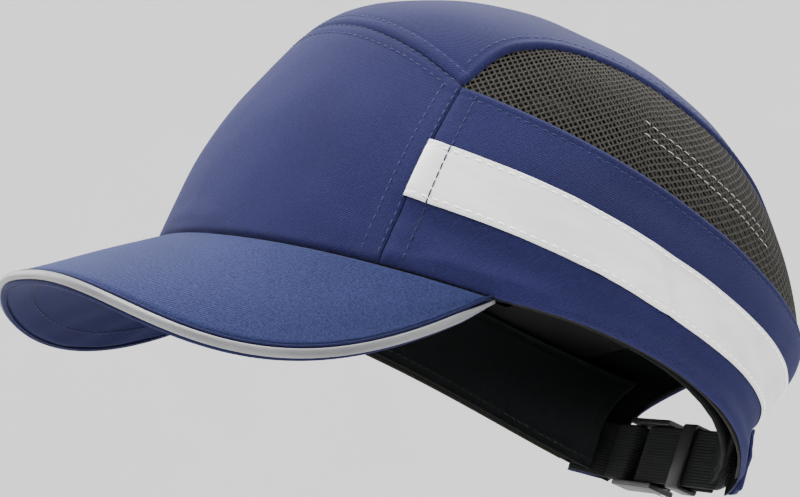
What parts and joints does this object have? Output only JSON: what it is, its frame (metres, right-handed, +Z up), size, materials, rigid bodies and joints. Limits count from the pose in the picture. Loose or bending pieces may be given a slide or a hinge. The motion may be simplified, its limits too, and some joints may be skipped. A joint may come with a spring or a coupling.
{
  "type": "bump cap",
  "caption": "Protective bump cap: cloth crown with mesh sides and reflective side tape over a vented plastic shell, short peak, padded inside, adjustable rear strap.",
  "frame": {"origin": "centre of the head opening, on the object's plane of symmetry, level with the bottom of the cloth at the back", "axes": "+Z up towards the crown, -Y towards the peak and +Y towards the rear strap, +X towards the wearer's left"},
  "size_m": [0.1922, 0.2576, 0.1493],
  "materials": {
    "navy_cloth": "cotton twill",
    "peak_cloth": "cotton twill",
    "side_mesh": "open knitted mesh",
    "reflective_tape": "retroreflective tape",
    "reflective_piping": "retroreflective piping",
    "lining_cloth": "brushed polyester",
    "shell_plastic": "moulded, fine texture",
    "board_plastic": "sheet",
    "foam": "closed-cell foam",
    "webbing": "woven webbing",
    "buckle_plastic": "moulded satin",
    "pin_steel": "satin"
  },
  "bodies": {
    "cap": {"front_panel": "navy_cloth", "top_panel": "navy_cloth", "side_band_left": "navy_cloth", "side_band_right": "navy_cloth", "mesh_panel_left": "side_mesh", "mesh_panel_right": "side_mesh", "reflective_tape_left": "reflective_tape", "reflective_tape_right": "reflective_tape", "seam_tape_left": "navy_cloth", "seam_tape_right": "navy_cloth", "peak_top_cover": "peak_cloth", "peak_board": "board_plastic", "peak_under_cover": "peak_cloth", "peak_piping": "reflective_piping", "inner_shell": "shell_plastic", "crown_pad": "foam", "front_pad": "foam", "side_pad_left": "foam", "side_pad_right": "foam", "rear_pad": "foam", "sweatband": "lining_cloth", "rim_binding_left": "lining_cloth", "rim_binding_right": "lining_cloth", "arch_binding": "lining_cloth", "rear_tab_left": "navy_cloth", "rear_tab_right": "navy_cloth", "rear_strap": "webbing", "strap_loop": "webbing", "buckle_frame": "buckle_plastic", "lever_pin": "pin_steel"},
    "lever": {"buckle_lever": "buckle_plastic"},
    "keeper": {"strap_keeper": "buckle_plastic"}
  },
  "joints": [
    {"name": "lever_hinge", "type": "hinge", "parent": "cap", "child": "lever", "pos_m": [-0.0055, 0.1043, 0.0103], "axis": [0, 0, -1], "range_deg": [0, 100]},
    {"name": "keeper_slide", "type": "slide", "parent": "cap", "child": "keeper", "axis": [1, 0, 0], "range_m": [-0.006, 0.008]}
  ]
}
